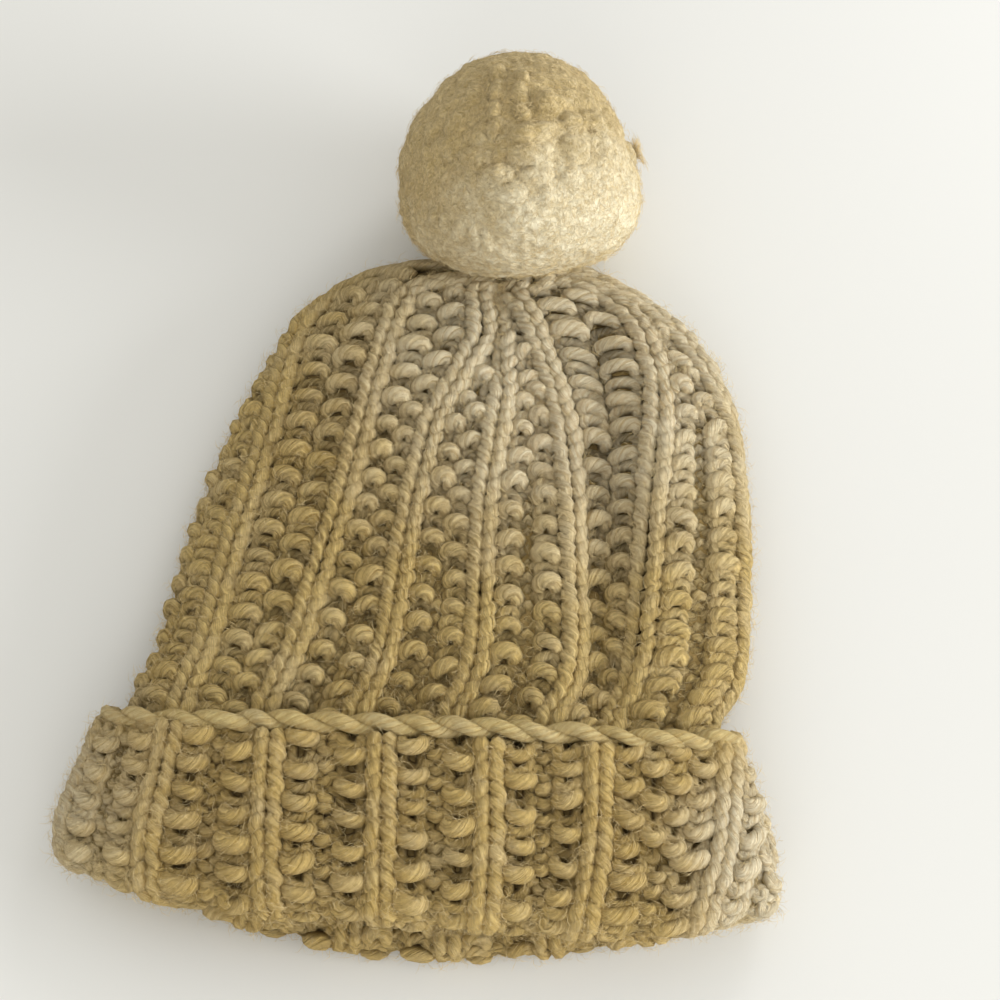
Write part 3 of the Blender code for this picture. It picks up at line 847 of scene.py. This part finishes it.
def felt_material():
    """The bobble's felted wool: tan at its top, paler and hairier towards the hat."""
    material, shader, recipe = matt_wool("felted_wool", 0.95, 0.1, 0.35, (1.0, 0.92, 0.76))
    spread, blend = recipe.spread, recipe.blend
    hairs = recipe.noise(520, 6.0, 0.65, 1.2)
    slanted = recipe.vector_maths("DOT_PRODUCT", (-0.45, 1.0, 0.0))
    upward = recipe.maths("MULTIPLY_ADD", recipe.noise(75, 3.0, 0.65), 0.055, slanted)
    tan = blend(spread(hairs, 0.33, 0.67), (0.43, 0.31, 0.12), (0.77, 0.60, 0.30))
    cream = blend(spread(hairs, 0.30, 0.55), (0.76, 0.61, 0.35), (1.0, 0.91, 0.66))
    colour = blend(spread(upward, 0.133, 0.096), tan, cream)
    # Painted shade: dark brown where the felt lies low, in valleys, in grooves and round its lumps.
    colour = blend(spread(recipe.openness(), 0.0, 0.7), (0.22, 0.14, 0.05), colour)
    finish_wool(recipe, shader, colour, hairs, 0.0022)
    return material


WOOL = wool_group()
# The third colour of each yarn is painted shade for its crevices.
CROWN_YARN = yarn_material("crown_yarn", (0.91, 0.68, 0.265), (0.37, 0.23, 0.052), (0.060, 0.031, 0.004))
CUFF_YARN = yarn_material("cuff_yarn", (0.87, 0.635, 0.235), (0.48, 0.31, 0.078), (0.16, 0.095, 0.018))
EDGE_YARN = yarn_material("edge_yarn", (1.0, 0.80, 0.36), (0.74, 0.50, 0.165), (0.17, 0.10, 0.022))
HAIR = plain_wool("loose_hair", (0.84, 0.68, 0.38), (0.60, 0.45, 0.20), 300, 0.0)
# The backing's dark brown is painted shade for the gaps between the stitches.
SHADED_BACKING = plain_wool("shaded_backing_wool", (0.34, 0.24, 0.095), (0.22, 0.15, 0.05), 500, 0.0006)
FELT = felt_material()
PALE_HAIR = plain_wool("bobble_hair", (0.88, 0.73, 0.43), (0.62, 0.46, 0.21), 90, 0.0)


# The knitting


def hidden_rings():
    """The crown's rings under the cuff, from the mouth up."""
    wrapped = [cuff_ring(row) for row in CUFF_RINGS]
    return wrapped + [wrapped[-1]._replace(y=wrapped[-1].y + EDGE_WIDTH + GAP)]


def crown_cloth():
    rings = hidden_rings() + [crown_ring(row) for row in CROWN_RINGS + CLOSING_RINGS]
    return Cloth([(ring, -KNIT_WALL / 2) for ring in between_rings(rings, CROWN_LAYERS)])


def cuff_cloth():
    """The cuff from its cast-on edge down its outside, round the fold and into the mouth."""
    band = between_rings([cuff_ring(row) for row in CUFF_RINGS], CUFF_LAYERS)
    fold = band[0]
    layers = [(ring, GAP + CUFF_WALL / 2) for ring in band[::-1]]
    bend_radius = LIP_RADIUS - CUFF_WALL / 2
    for bend in np.linspace(0, math.pi, FOLD_LAYERS + 1)[1:-1]:
        ring = fold._replace(y=fold.y - GAP - bend_radius * math.sin(bend))
        layers.append((ring, CUFF_LAYER - LIP_RADIUS + bend_radius * math.cos(bend)))
    inside = [ring for ring in band if ring.y < fold.y + TUCKED_IN]
    layers += [(ring, CUFF_LAYER - LIP_RADIUS - bend_radius) for ring in inside]
    return Cloth(layers, downward=True, shape=drop_back_fold)


def drop_back_fold(points):
    """The lower layer of the brim reaches a little further out than the upper one, in the middle."""
    x, y, z = points[..., 0], points[..., 1], points[..., 2]
    across = np.clip((x - BACK_FOLD.aside) / BACK_FOLD.half_width, -1, 1)
    low = ease((BACK_FOLD.height - z) / BACK_FOLD.blend_up)
    near = ease(1 - (y + HAT_MIDDLE[1]) / BACK_FOLD.blend_in)
    points[..., 1] -= BACK_FOLD.drop * (1 - np.abs(across) ** 3) * low * near
    return points


def knit_crown():
    cloth = crown_cloth()
    upper_middle = cloth.grid[:, Cloth.AROUND // 4, 1] + HAT_MIDDLE[1]
    start = cloth.reach[np.argmin(np.abs(upper_middle - CUFF_HEIGHT))] - 0.006
    whole = cloth.length - start

    def places_of(reach):
        return column_places(CROWN_COLUMNS, (reach - start) / whole)

    rows = even_rows(start, cloth.length - 0.002, CROWN_ROW)
    lines = lay_rows(cloth, rows, places_of, CROWN_STAND, CROWN_LOOSE, 11)
    pieces = as_pieces("crown_knitting", lines, CROWN_YARN, "crown", "crown_wool")
    fuzz_on_yarn("crown_fuzz", pieces, CROWN_HAIRS, "crown", "crown_wool", 31)


def knit_cuff():
    cloth = cuff_cloth()
    fold_start = cloth.reach[CUFF_LAYERS - 1]
    fold_end = cloth.reach[CUFF_LAYERS - 1 + FOLD_LAYERS]

    def places_of(reach):
        return column_places(CUFF_COLUMNS, reach / fold_start)

    rows = even_rows(0.0010, fold_start - 0.0005, CUFF_ROW)
    rows += even_rows(fold_start - 0.0005, fold_end + 0.001, FOLD_ROW)
    rows += even_rows(fold_end + 0.001, cloth.length - 0.003, CUFF_ROW)
    lines = lay_rows(cloth, rows, places_of, CUFF_STAND, CUFF_LOOSE, 23)
    pieces = as_pieces("cuff_knitting", lines, CUFF_YARN, "cuff", "cuff_wool")
    fuzz_on_yarn("cuff_fuzz", pieces, CUFF_HAIRS, "cuff", "cuff_wool", 37)


def uneven_along(share, count, middle, size, chance):
    """A value that wanders along a line, from one random knot to the next."""
    return np.interp(share * count, np.arange(count + 1), chance.normal(middle, size, count + 1))


def cast_on():
    """The cast-on edge: a chain that looks like two strands twisted along the cuff's edge."""
    base = cuff_ring(CUFF_RINGS[-1])
    middle = base.y + GAP + EDGE_WIDTH * 0.30
    steps = (-EDGE_BAND, 0, EDGE_BAND)
    cloth = Cloth([(base._replace(y=middle + step), GAP + CUFF_WALL * 0.62) for step in steps])
    turns = round(cloth.girth(EDGE_BAND) / EDGE_TWIST)
    count = turns * EDGE_POINTS
    share = np.arange(count) / count
    corner = np.abs(np.cos(2 * math.pi * share)) ** 7
    mesh = YarnMesh()
    chance = np.random.default_rng(41)
    for strand in range(2):
        wander = uneven_along(share, turns * 2, 0, 0.38, chance)
        angle = 2 * math.pi * (share * turns + strand / 2) + wander
        out = -EDGE_OUT * np.sin(angle)
        reach = EDGE_BAND - EDGE_SIDEWAYS * np.cos(angle) - EDGE_DROP * corner
        points, normals = cloth.place(share, reach, out)
        swell = uneven_along(share, turns * 3, 1, 0.09, chance)
        radii = EDGE_RADIUS * swell * (1 - 0.08 * np.sin(angle))
        mesh.add(points, normals, radii, out + EDGE_RADIUS)
    mesh.build("cast_on_chain", EDGE_YARN, "cast_on_edge", "edge_wool")


def backing(name, outside, inside, node):
    """The matted middle of the knitting, which closes the gaps between the stitches: a closed skin
    through the outside rows and back through the inside ones. Its dark brown is painted shade for the
    gaps."""
    grid = np.concatenate([outside, inside[::-1]])
    put_piece(name, grid.reshape(-1, 3), closed_rows(grid), SHADED_BACKING, node)


def back_crown():
    places = np.arange(120) / 120
    rings = between_rings(hidden_rings() + [crown_ring(row) for row in CROWN_RINGS], 56)
    turns = [even_turns(ring, places) for ring in rings]
    outside, inside = (
        np.array([ring_outline(ring, turn, -KNIT_WALL * depth) for ring, turn in zip(some, turns)])
        for some, depth in ((rings, 0.55), (rings[:-6], 0.95))
    )
    backing("crown_backing", outside - HAT_MIDDLE, inside - HAT_MIDDLE, "crown")


def back_cuff():
    cloth = cuff_cloth()
    grid, out = cloth.grid[2:-2:3, ::5][::-1], cloth.out[2:-2:3, ::5][::-1]
    backing("cuff_backing", grid - out * 0.0018, grid - out * 0.0030, "cuff")


# The bobble


def bobble_placing():
    """Turns and moves the bobble from its own base at the origin to its place on the hat."""
    gather = Matrix.Translation((
        GATHER_ASIDE * CROWN_WIDTH,
        CUFF_HEIGHT + GATHER_ALONG * CROWN_LENGTH,
        GATHER_HEIGHT * CROWN_DEPTH,
    ))
    lean = Matrix.Rotation(BOBBLE_LEAN - math.pi / 2, 4, "X")
    turn = Matrix.Rotation(BOBBLE_TURN, 4, "Z") @ lean
    placing = np.array(gather @ turn @ Matrix.Translation((0, 0, BOBBLE_STAND_OFF)))
    placing[:3, 3] -= HAT_MIDDLE
    return placing


# Felted stitches that still stand out of the bobble: where they are, as a turn in degrees and a
# share of its length, their half width and half length, how they lean and how far they stand out
Lump = namedtuple("Lump", "turn along half_width half_length lean height")
BOBBLE_LUMPS = [Lump(*row) for row in (
    (256, 0.865, 0.0029, 0.0036, 18, 0.0025),
    (256, 0.780, 0.0029, 0.0036, 18, 0.0027),
    (257, 0.695, 0.0029, 0.0036, 18, 0.0027),
    (258, 0.615, 0.0029, 0.0036, 18, 0.0024),
    (273, 0.845, 0.0029, 0.0036, -18, 0.0025),
    (271, 0.760, 0.0029, 0.0036, -18, 0.0027),
    (271, 0.678, 0.0029, 0.0036, -18, 0.0024),
    (287, 0.712, 0.0048, 0.0044, 0, 0.0034),
    (296, 0.632, 0.0038, 0.0034, 20, 0.0024),
    (276, 0.585, 0.0078, 0.0032, -8, 0.0036),
    (274, 0.498, 0.0072, 0.0038, -4, 0.0035),
    (296, 0.512, 0.0054, 0.0048, 10, 0.0028),
    (310, 0.650, 0.0048, 0.0040, 0, 0.0015),
    (249, 0.595, 0.0036, 0.0046, 10, 0.0013),
    (246, 0.480, 0.0042, 0.0050, 0, 0.0012),
    (234, 0.668, 0.0046, 0.0048, 0, 0.0011),
    (240, 0.775, 0.0040, 0.0044, 0, 0.0011),
    (233, 0.545, 0.0044, 0.0050, 0, 0.0010),
    (259, 0.420, 0.0052, 0.0036, 5, 0.0015),
    (277, 0.405, 0.0062, 0.0036, -5, 0.0016),
    (295, 0.400, 0.0055, 0.0038, 0, 0.0014),
    (313, 0.450, 0.0052, 0.0046, 0, 0.0014),
    (316, 0.560, 0.0048, 0.0046, 0, 0.0013),
    (265, 0.325, 0.0055, 0.0036, 0, 0.0012),
    (284, 0.310, 0.0060, 0.0036, 0, 0.0012),
    (350, 0.520, 0.0045, 0.0045, 0, 0.0020),
    (221, 0.255, 0.0024, 0.0042, 30, 0.0016),
    (228, 0.220, 0.0024, 0.0042, 30, 0.0017),
    (235, 0.185, 0.0024, 0.0042, 30, 0.0017),
    (242, 0.155, 0.0024, 0.0040, 30, 0.0016),
    (249, 0.135, 0.0024, 0.0036, 30, 0.0014),
)]
# The felted stitches: their size, and the bearing of the V column that shows best
FELT_COLUMN = 0.0104
FELT_ROW = 0.0064
MAIN_COLUMN = 263
BOBBLE_AROUND = 270
BOBBLE_ROWS = 160


def soft_noise(points, cell, seed):
    """Smooth noise from -1 to 1 over points in space."""
    table = np.random.default_rng(seed).uniform(-1, 1, (32, 32, 32))
    spots = points / cell
    base = np.floor(spots).astype(int)
    part = ease(spots - base)
    total = np.zeros(points.shape[:-1])
    for corner in np.ndindex(2, 2, 2):
        weight = np.prod(np.where(corner, part, 1 - part), axis=-1)
        index = (base + corner) % 32
        total += weight * table[index[..., 0], index[..., 1], index[..., 2]]
    return total


def turned_by(angle, turn):
    """The angle from a bearing, between -pi and pi."""
    return (angle - math.radians(turn) + math.pi) % (2 * math.pi) - math.pi


def lumps_and_rims(points, angle, radius, height):
    """How far the lumps stand out, and how deep the felt is drawn in round them."""
    raised = np.zeros(angle.shape)
    drawn_in = np.zeros(angle.shape)
    aside = 0.0012 * soft_noise(points, 0.006, 22)
    astray = 0.0012 * soft_noise(points, 0.006, 24)
    for lump in BOBBLE_LUMPS:
        sideways = turned_by(angle, lump.turn) * radius + aside
        upward = height - lump.along * BOBBLE_LENGTH + astray
        lean = math.radians(lump.lean)
        across = (sideways * math.cos(lean) - upward * math.sin(lean)) / lump.half_width
        along = (sideways * math.sin(lean) + upward * math.cos(lean)) / lump.half_length
        away = np.hypot(across, along)
        raised = np.maximum(raised, lump.height * np.exp(-away ** 4))
        rim = np.exp(-((away - 1.10) / 0.16) ** 2) * min(1, lump.height / 0.0026)
        drawn_in = np.maximum(drawn_in, rim)
    return raised, drawn_in * (1 - np.clip(raised / 0.0010, 0, 1))


def felt_relief(points, angle, radius, height, arc):
    """How far the felted surface stands out, and how open it lies, which the felt darkens as painted
    shade.
    """
    raised, drawn_in = lumps_and_rims(points, angle, radius, height)
    around = turned_by(angle, MAIN_COLUMN)
    column = around * radius / FELT_COLUMN + 0.22 * soft_noise(points, 0.009, 18)
    place = np.abs(column - np.round(column))
    stitch = arc / FELT_ROW - 1.5 * place + 0.25 * soft_noise(points, 0.008, 19)
    chevron = np.abs(np.sin(math.pi * stitch)) ** 0.6
    groove = np.exp(-(place / 0.09) ** 2) + 0.8 * np.exp(-((0.5 - place) / 0.09) ** 2)
    patches = ease(soft_noise(points, 0.016, 3) * 0.9 + 0.35)
    clear = 0.45 * patches * ease((math.pi - np.abs(around)) * 2) * ease(radius / 0.012 - 0.5)
    warp = np.stack([soft_noise(points, 0.007, seed) for seed in (15, 16, 17)], -1)
    warped = points + 0.0012 * warp
    billows = np.abs(soft_noise(warped, 0.0085, 5)) ** 0.8
    small = np.abs(soft_noise(warped, 0.0042, 7)) ** 0.8
    lumpy = 0.35 + 0.65 * ease((height / BOBBLE_LENGTH - 0.20) * 3)
    stand = raised - 0.0016 * drawn_in + clear * (0.0017 * chevron - 0.0012 * groove)
    stand += 0.0017 * (billows - 0.3) * lumpy + 0.0009 * (small - 0.3)
    stand *= ease(radius / 0.010)
    stand += 0.0009 * soft_noise(points, 0.018, 21) + 0.0003 * soft_noise(points, 0.0022, 9)
    # Painted shade: the openness is lowered in the valleys, the grooves and round the lumps, so the felt
    # is painted darker there.
    valley = np.exp(-(billows / 0.10) ** 2) * lumpy * 0.35 + np.exp(-(small / 0.12) ** 2) * 0.15
    valley_shade = valley + clear * (0.40 * groove + 0.40 * (1 - chevron))
    return stand, np.clip(1 - 0.80 * drawn_in - valley_shade, 0, 1)


def bobble_outline():
    """Heights and radii of the bobble's rings from base to tip, and how far along each is."""
    profile = np.concatenate([[[0.0, 0.0]], np.array(BOBBLE_PROFILE)])
    reach = run_along(profile * [2, 1])
    wanted = np.linspace(0, reach[-1], BOBBLE_ROWS)
    outline = np.stack([np.interp(wanted, reach, column) for column in profile.T])
    for _ in range(8):
        outline[:, 1:-1] = (outline[:, :-2] + 2 * outline[:, 1:-1] + outline[:, 2:]) / 4
    heights, radii = outline[0] * BOBBLE_LENGTH, outline[1] * BOBBLE_WIDTH / 2
    arcs = np.concatenate([[0], np.cumsum(np.hypot(np.diff(heights), np.diff(radii)))])
    return heights[1:-1], radii[1:-1], arcs[1:-1]


def bobble_pressed(angle, radius, height):
    """How far the broad dents press the bobble in."""
    pressed = np.zeros(radius.shape)
    for dent in BOBBLE_DENTS:
        bearing = math.radians(90 + dent.turn)
        sideways = radius * np.sqrt(np.maximum(0, 2 - 2 * np.cos(angle - bearing)))
        away = np.hypot(sideways, height - dent.along * BOBBLE_LENGTH) / (dent.spread * BOBBLE_WIDTH)
        pressed += dent.depth * BOBBLE_WIDTH * np.exp(-2 * away ** 2)
    return pressed


def ball_faces(grid):
    """Faces between the rings of a ball, whose poles are its first and its last vertex."""
    rows, around = grid.shape[:2]
    faces = [tuple(face) for face in 1 + closed_rows(grid)[:-around]]
    last = 1 + (rows - 1) * around
    for n in range(around):
        after = (n + 1) % around
        faces.append((0, 1 + after, 1 + n))
        faces.append((last + around, last + n, last + after))
    return faces


def make_bobble():
    heights, radii, arcs = (column[:, None] * np.ones(BOBBLE_AROUND) for column in bobble_outline())
    angle = 2 * math.pi * np.arange(BOBBLE_AROUND) / BOBBLE_AROUND * np.ones(heights.shape)
    radius = radii - bobble_pressed(angle, radii, heights)
    points = np.stack([radius * np.cos(angle), radius * np.sin(angle), heights], axis=-1)
    up = np.gradient(points, axis=0)
    side = np.roll(points, -1, axis=1) - np.roll(points, 1, axis=1)
    normals = unit(np.cross(side, up))
    stand, openness = felt_relief(points, angle, radius, heights, arcs)
    points = points + normals * stand[..., None]
    tip = [[0, 0, points[-1, :, 2].mean()]]
    verts = np.concatenate([[[0, 0, 0.0]], points.reshape(-1, 3), tip])
    placing = bobble_placing()
    verts = verts @ placing[:3, :3].T + placing[:3, 3]
    bobble = put_piece("bobble_felt", verts, ball_faces(points), FELT, "bobble")
    mark_openness(bobble.data, np.concatenate([[1], openness.ravel(), [1]]))
    odds = (radius * np.clip(openness, 0.05, 1) ** 2.5).ravel()
    bobble_hair(verts[1:-1], normals.reshape(-1, 3) @ placing[:3, :3].T, odds)


def bobble_hair(roots, normals, odds):
    """Loose hairs all over the felt, more of them near the hat, and the small tuft on its right."""
    fuzz = FuzzMesh(53)
    fuzz.add(roots, normals, BOBBLE_HAIRS, odds * (1.6 - 0.9 * ease((roots[:, 1] - 0.10) / 0.03)))
    off_tuft = np.linalg.norm(roots - TUFT, axis=1) / TUFT_SPREAD
    fuzz.add(roots, normals, TUFT_HAIRS, np.exp(-off_tuft ** 2))
    fuzz.build("bobble_fuzz", PALE_HAIR, "bobble", "bobble_wool")


# The yarn round the tie: its turns, how far apart they are and where the first one lies
TIE_TURNS = 7
TIE_PITCH = 0.0023
TIE_START = -0.0095
TIE_RADIUS = 0.0020
TIE_YARN = 0.0017
TIE_POINTS = 24


def wind_tie():
    """Yarn wound round the hidden post between the hat and its bobble."""
    placing = bobble_placing()
    mesh = YarnMesh()
    angle = 2 * math.pi * np.arange(TIE_POINTS) / TIE_POINTS
    spokes = np.stack([np.cos(angle), np.sin(angle), np.zeros(TIE_POINTS)], axis=1)
    for n in range(TIE_TURNS):
        ring = spokes * TIE_RADIUS
        ring[:, 2] = TIE_START + n * TIE_PITCH + 0.0004 * np.sin(angle + n)
        points = ring @ placing[:3, :3].T + placing[:3, 3]
        radii, rises = np.full(TIE_POINTS, TIE_YARN), np.full(TIE_POINTS, 0.001)
        mesh.add(points, spokes @ placing[:3, :3].T, radii, rises)
    mesh.build("tie_winding", EDGE_YARN, "bobble_tie", "tie_wool")


# Stage, light and camera


def make_stage():
    bpy.ops.object.select_all(action="DESELECT")
    bpy.ops.mesh.primitive_plane_add(size=6.0, location=(0, 0, 0))
    floor = bpy.context.object
    floor.name = "floor"
    material = bpy.data.materials.new("floor_paint")
    material.use_nodes = True
    shader = material.node_tree.nodes["Principled BSDF"]
    shader.inputs["Base Color"].default_value = (0.775, 0.78, 0.765, 1)
    shader.inputs["Roughness"].default_value = 0.35
    floor.data.materials.append(material)
    floor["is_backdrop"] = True


Lamp = namedtuple("Lamp", "name spot target size power colour")
LAMPS = [Lamp(*row) for row in (
    ("window", (2.20, -0.20, 0.45), (0, 0, 0), 1.2, 56, (0.98, 0.99, 1.0)),
    ("high_window", (0.60, 1.00, 1.00), (0, 0, 0), 0.6, 3, (0.99, 0.99, 1.0)),
    ("fill", (0.0, -1.0, 0.50), (0, 0, 0.02), 0.8, 2.8, (1.0, 0.97, 0.92)),
)]
ROOM_COLOUR = (0.97, 0.95, 0.89, 1)
ROOM_STRENGTH = 0.76


def look_along(thing, direction):
    """Puts a lamp or a camera into the scene, turned to look along a direction."""
    thing.rotation_euler = direction.to_track_quat("-Z", "Y").to_euler()
    bpy.context.scene.collection.objects.link(thing)


def make_lights():
    for lamp in LAMPS:
        data = bpy.data.lights.new(lamp.name, "AREA")
        data.shape = "DISK"
        data.size = lamp.size
        data.energy = lamp.power
        data.color = lamp.colour
        light = bpy.data.objects.new(lamp.name, data)
        light.location = lamp.spot
        look_along(light, Vector(lamp.target) - Vector(lamp.spot))
    world = bpy.data.worlds.new("room")
    world.use_nodes = True
    background = world.node_tree.nodes["Background"].inputs
    background["Color"].default_value = ROOM_COLOUR
    background["Strength"].default_value = ROOM_STRENGTH
    bpy.context.scene.world = world


# The camera: which way and how high it looks from, how far off it is and what it looks at
AZIMUTH = math.radians(2.5)
ELEVATION = math.radians(68)
DISTANCE = 0.85
TARGET = Vector((0.0222, -0.0017, 0.020))
LENS = 85.7


def make_camera():
    back = Vector((
        math.sin(AZIMUTH) * math.cos(ELEVATION),
        -math.cos(AZIMUTH) * math.cos(ELEVATION),
        math.sin(ELEVATION),
    ))
    data = bpy.data.cameras.new("camera")
    data.lens = LENS
    data.sensor_width = 36
    camera = bpy.data.objects.new("camera", data)
    camera.location = TARGET + back * DISTANCE
    look_along(camera, -back)
    bpy.context.scene.camera = camera


def main():
    bpy.context.scene.view_settings.view_transform = "Standard"
    knit_crown()
    knit_cuff()
    cast_on()
    back_crown()
    back_cuff()
    make_bobble()
    wind_tie()
    make_stage()
    make_lights()
    make_camera()
    boxes = {"cad": cad_box, "visual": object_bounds()}
    {name: [list(corner) for corner in box] for name, box in boxes.items()}


main()
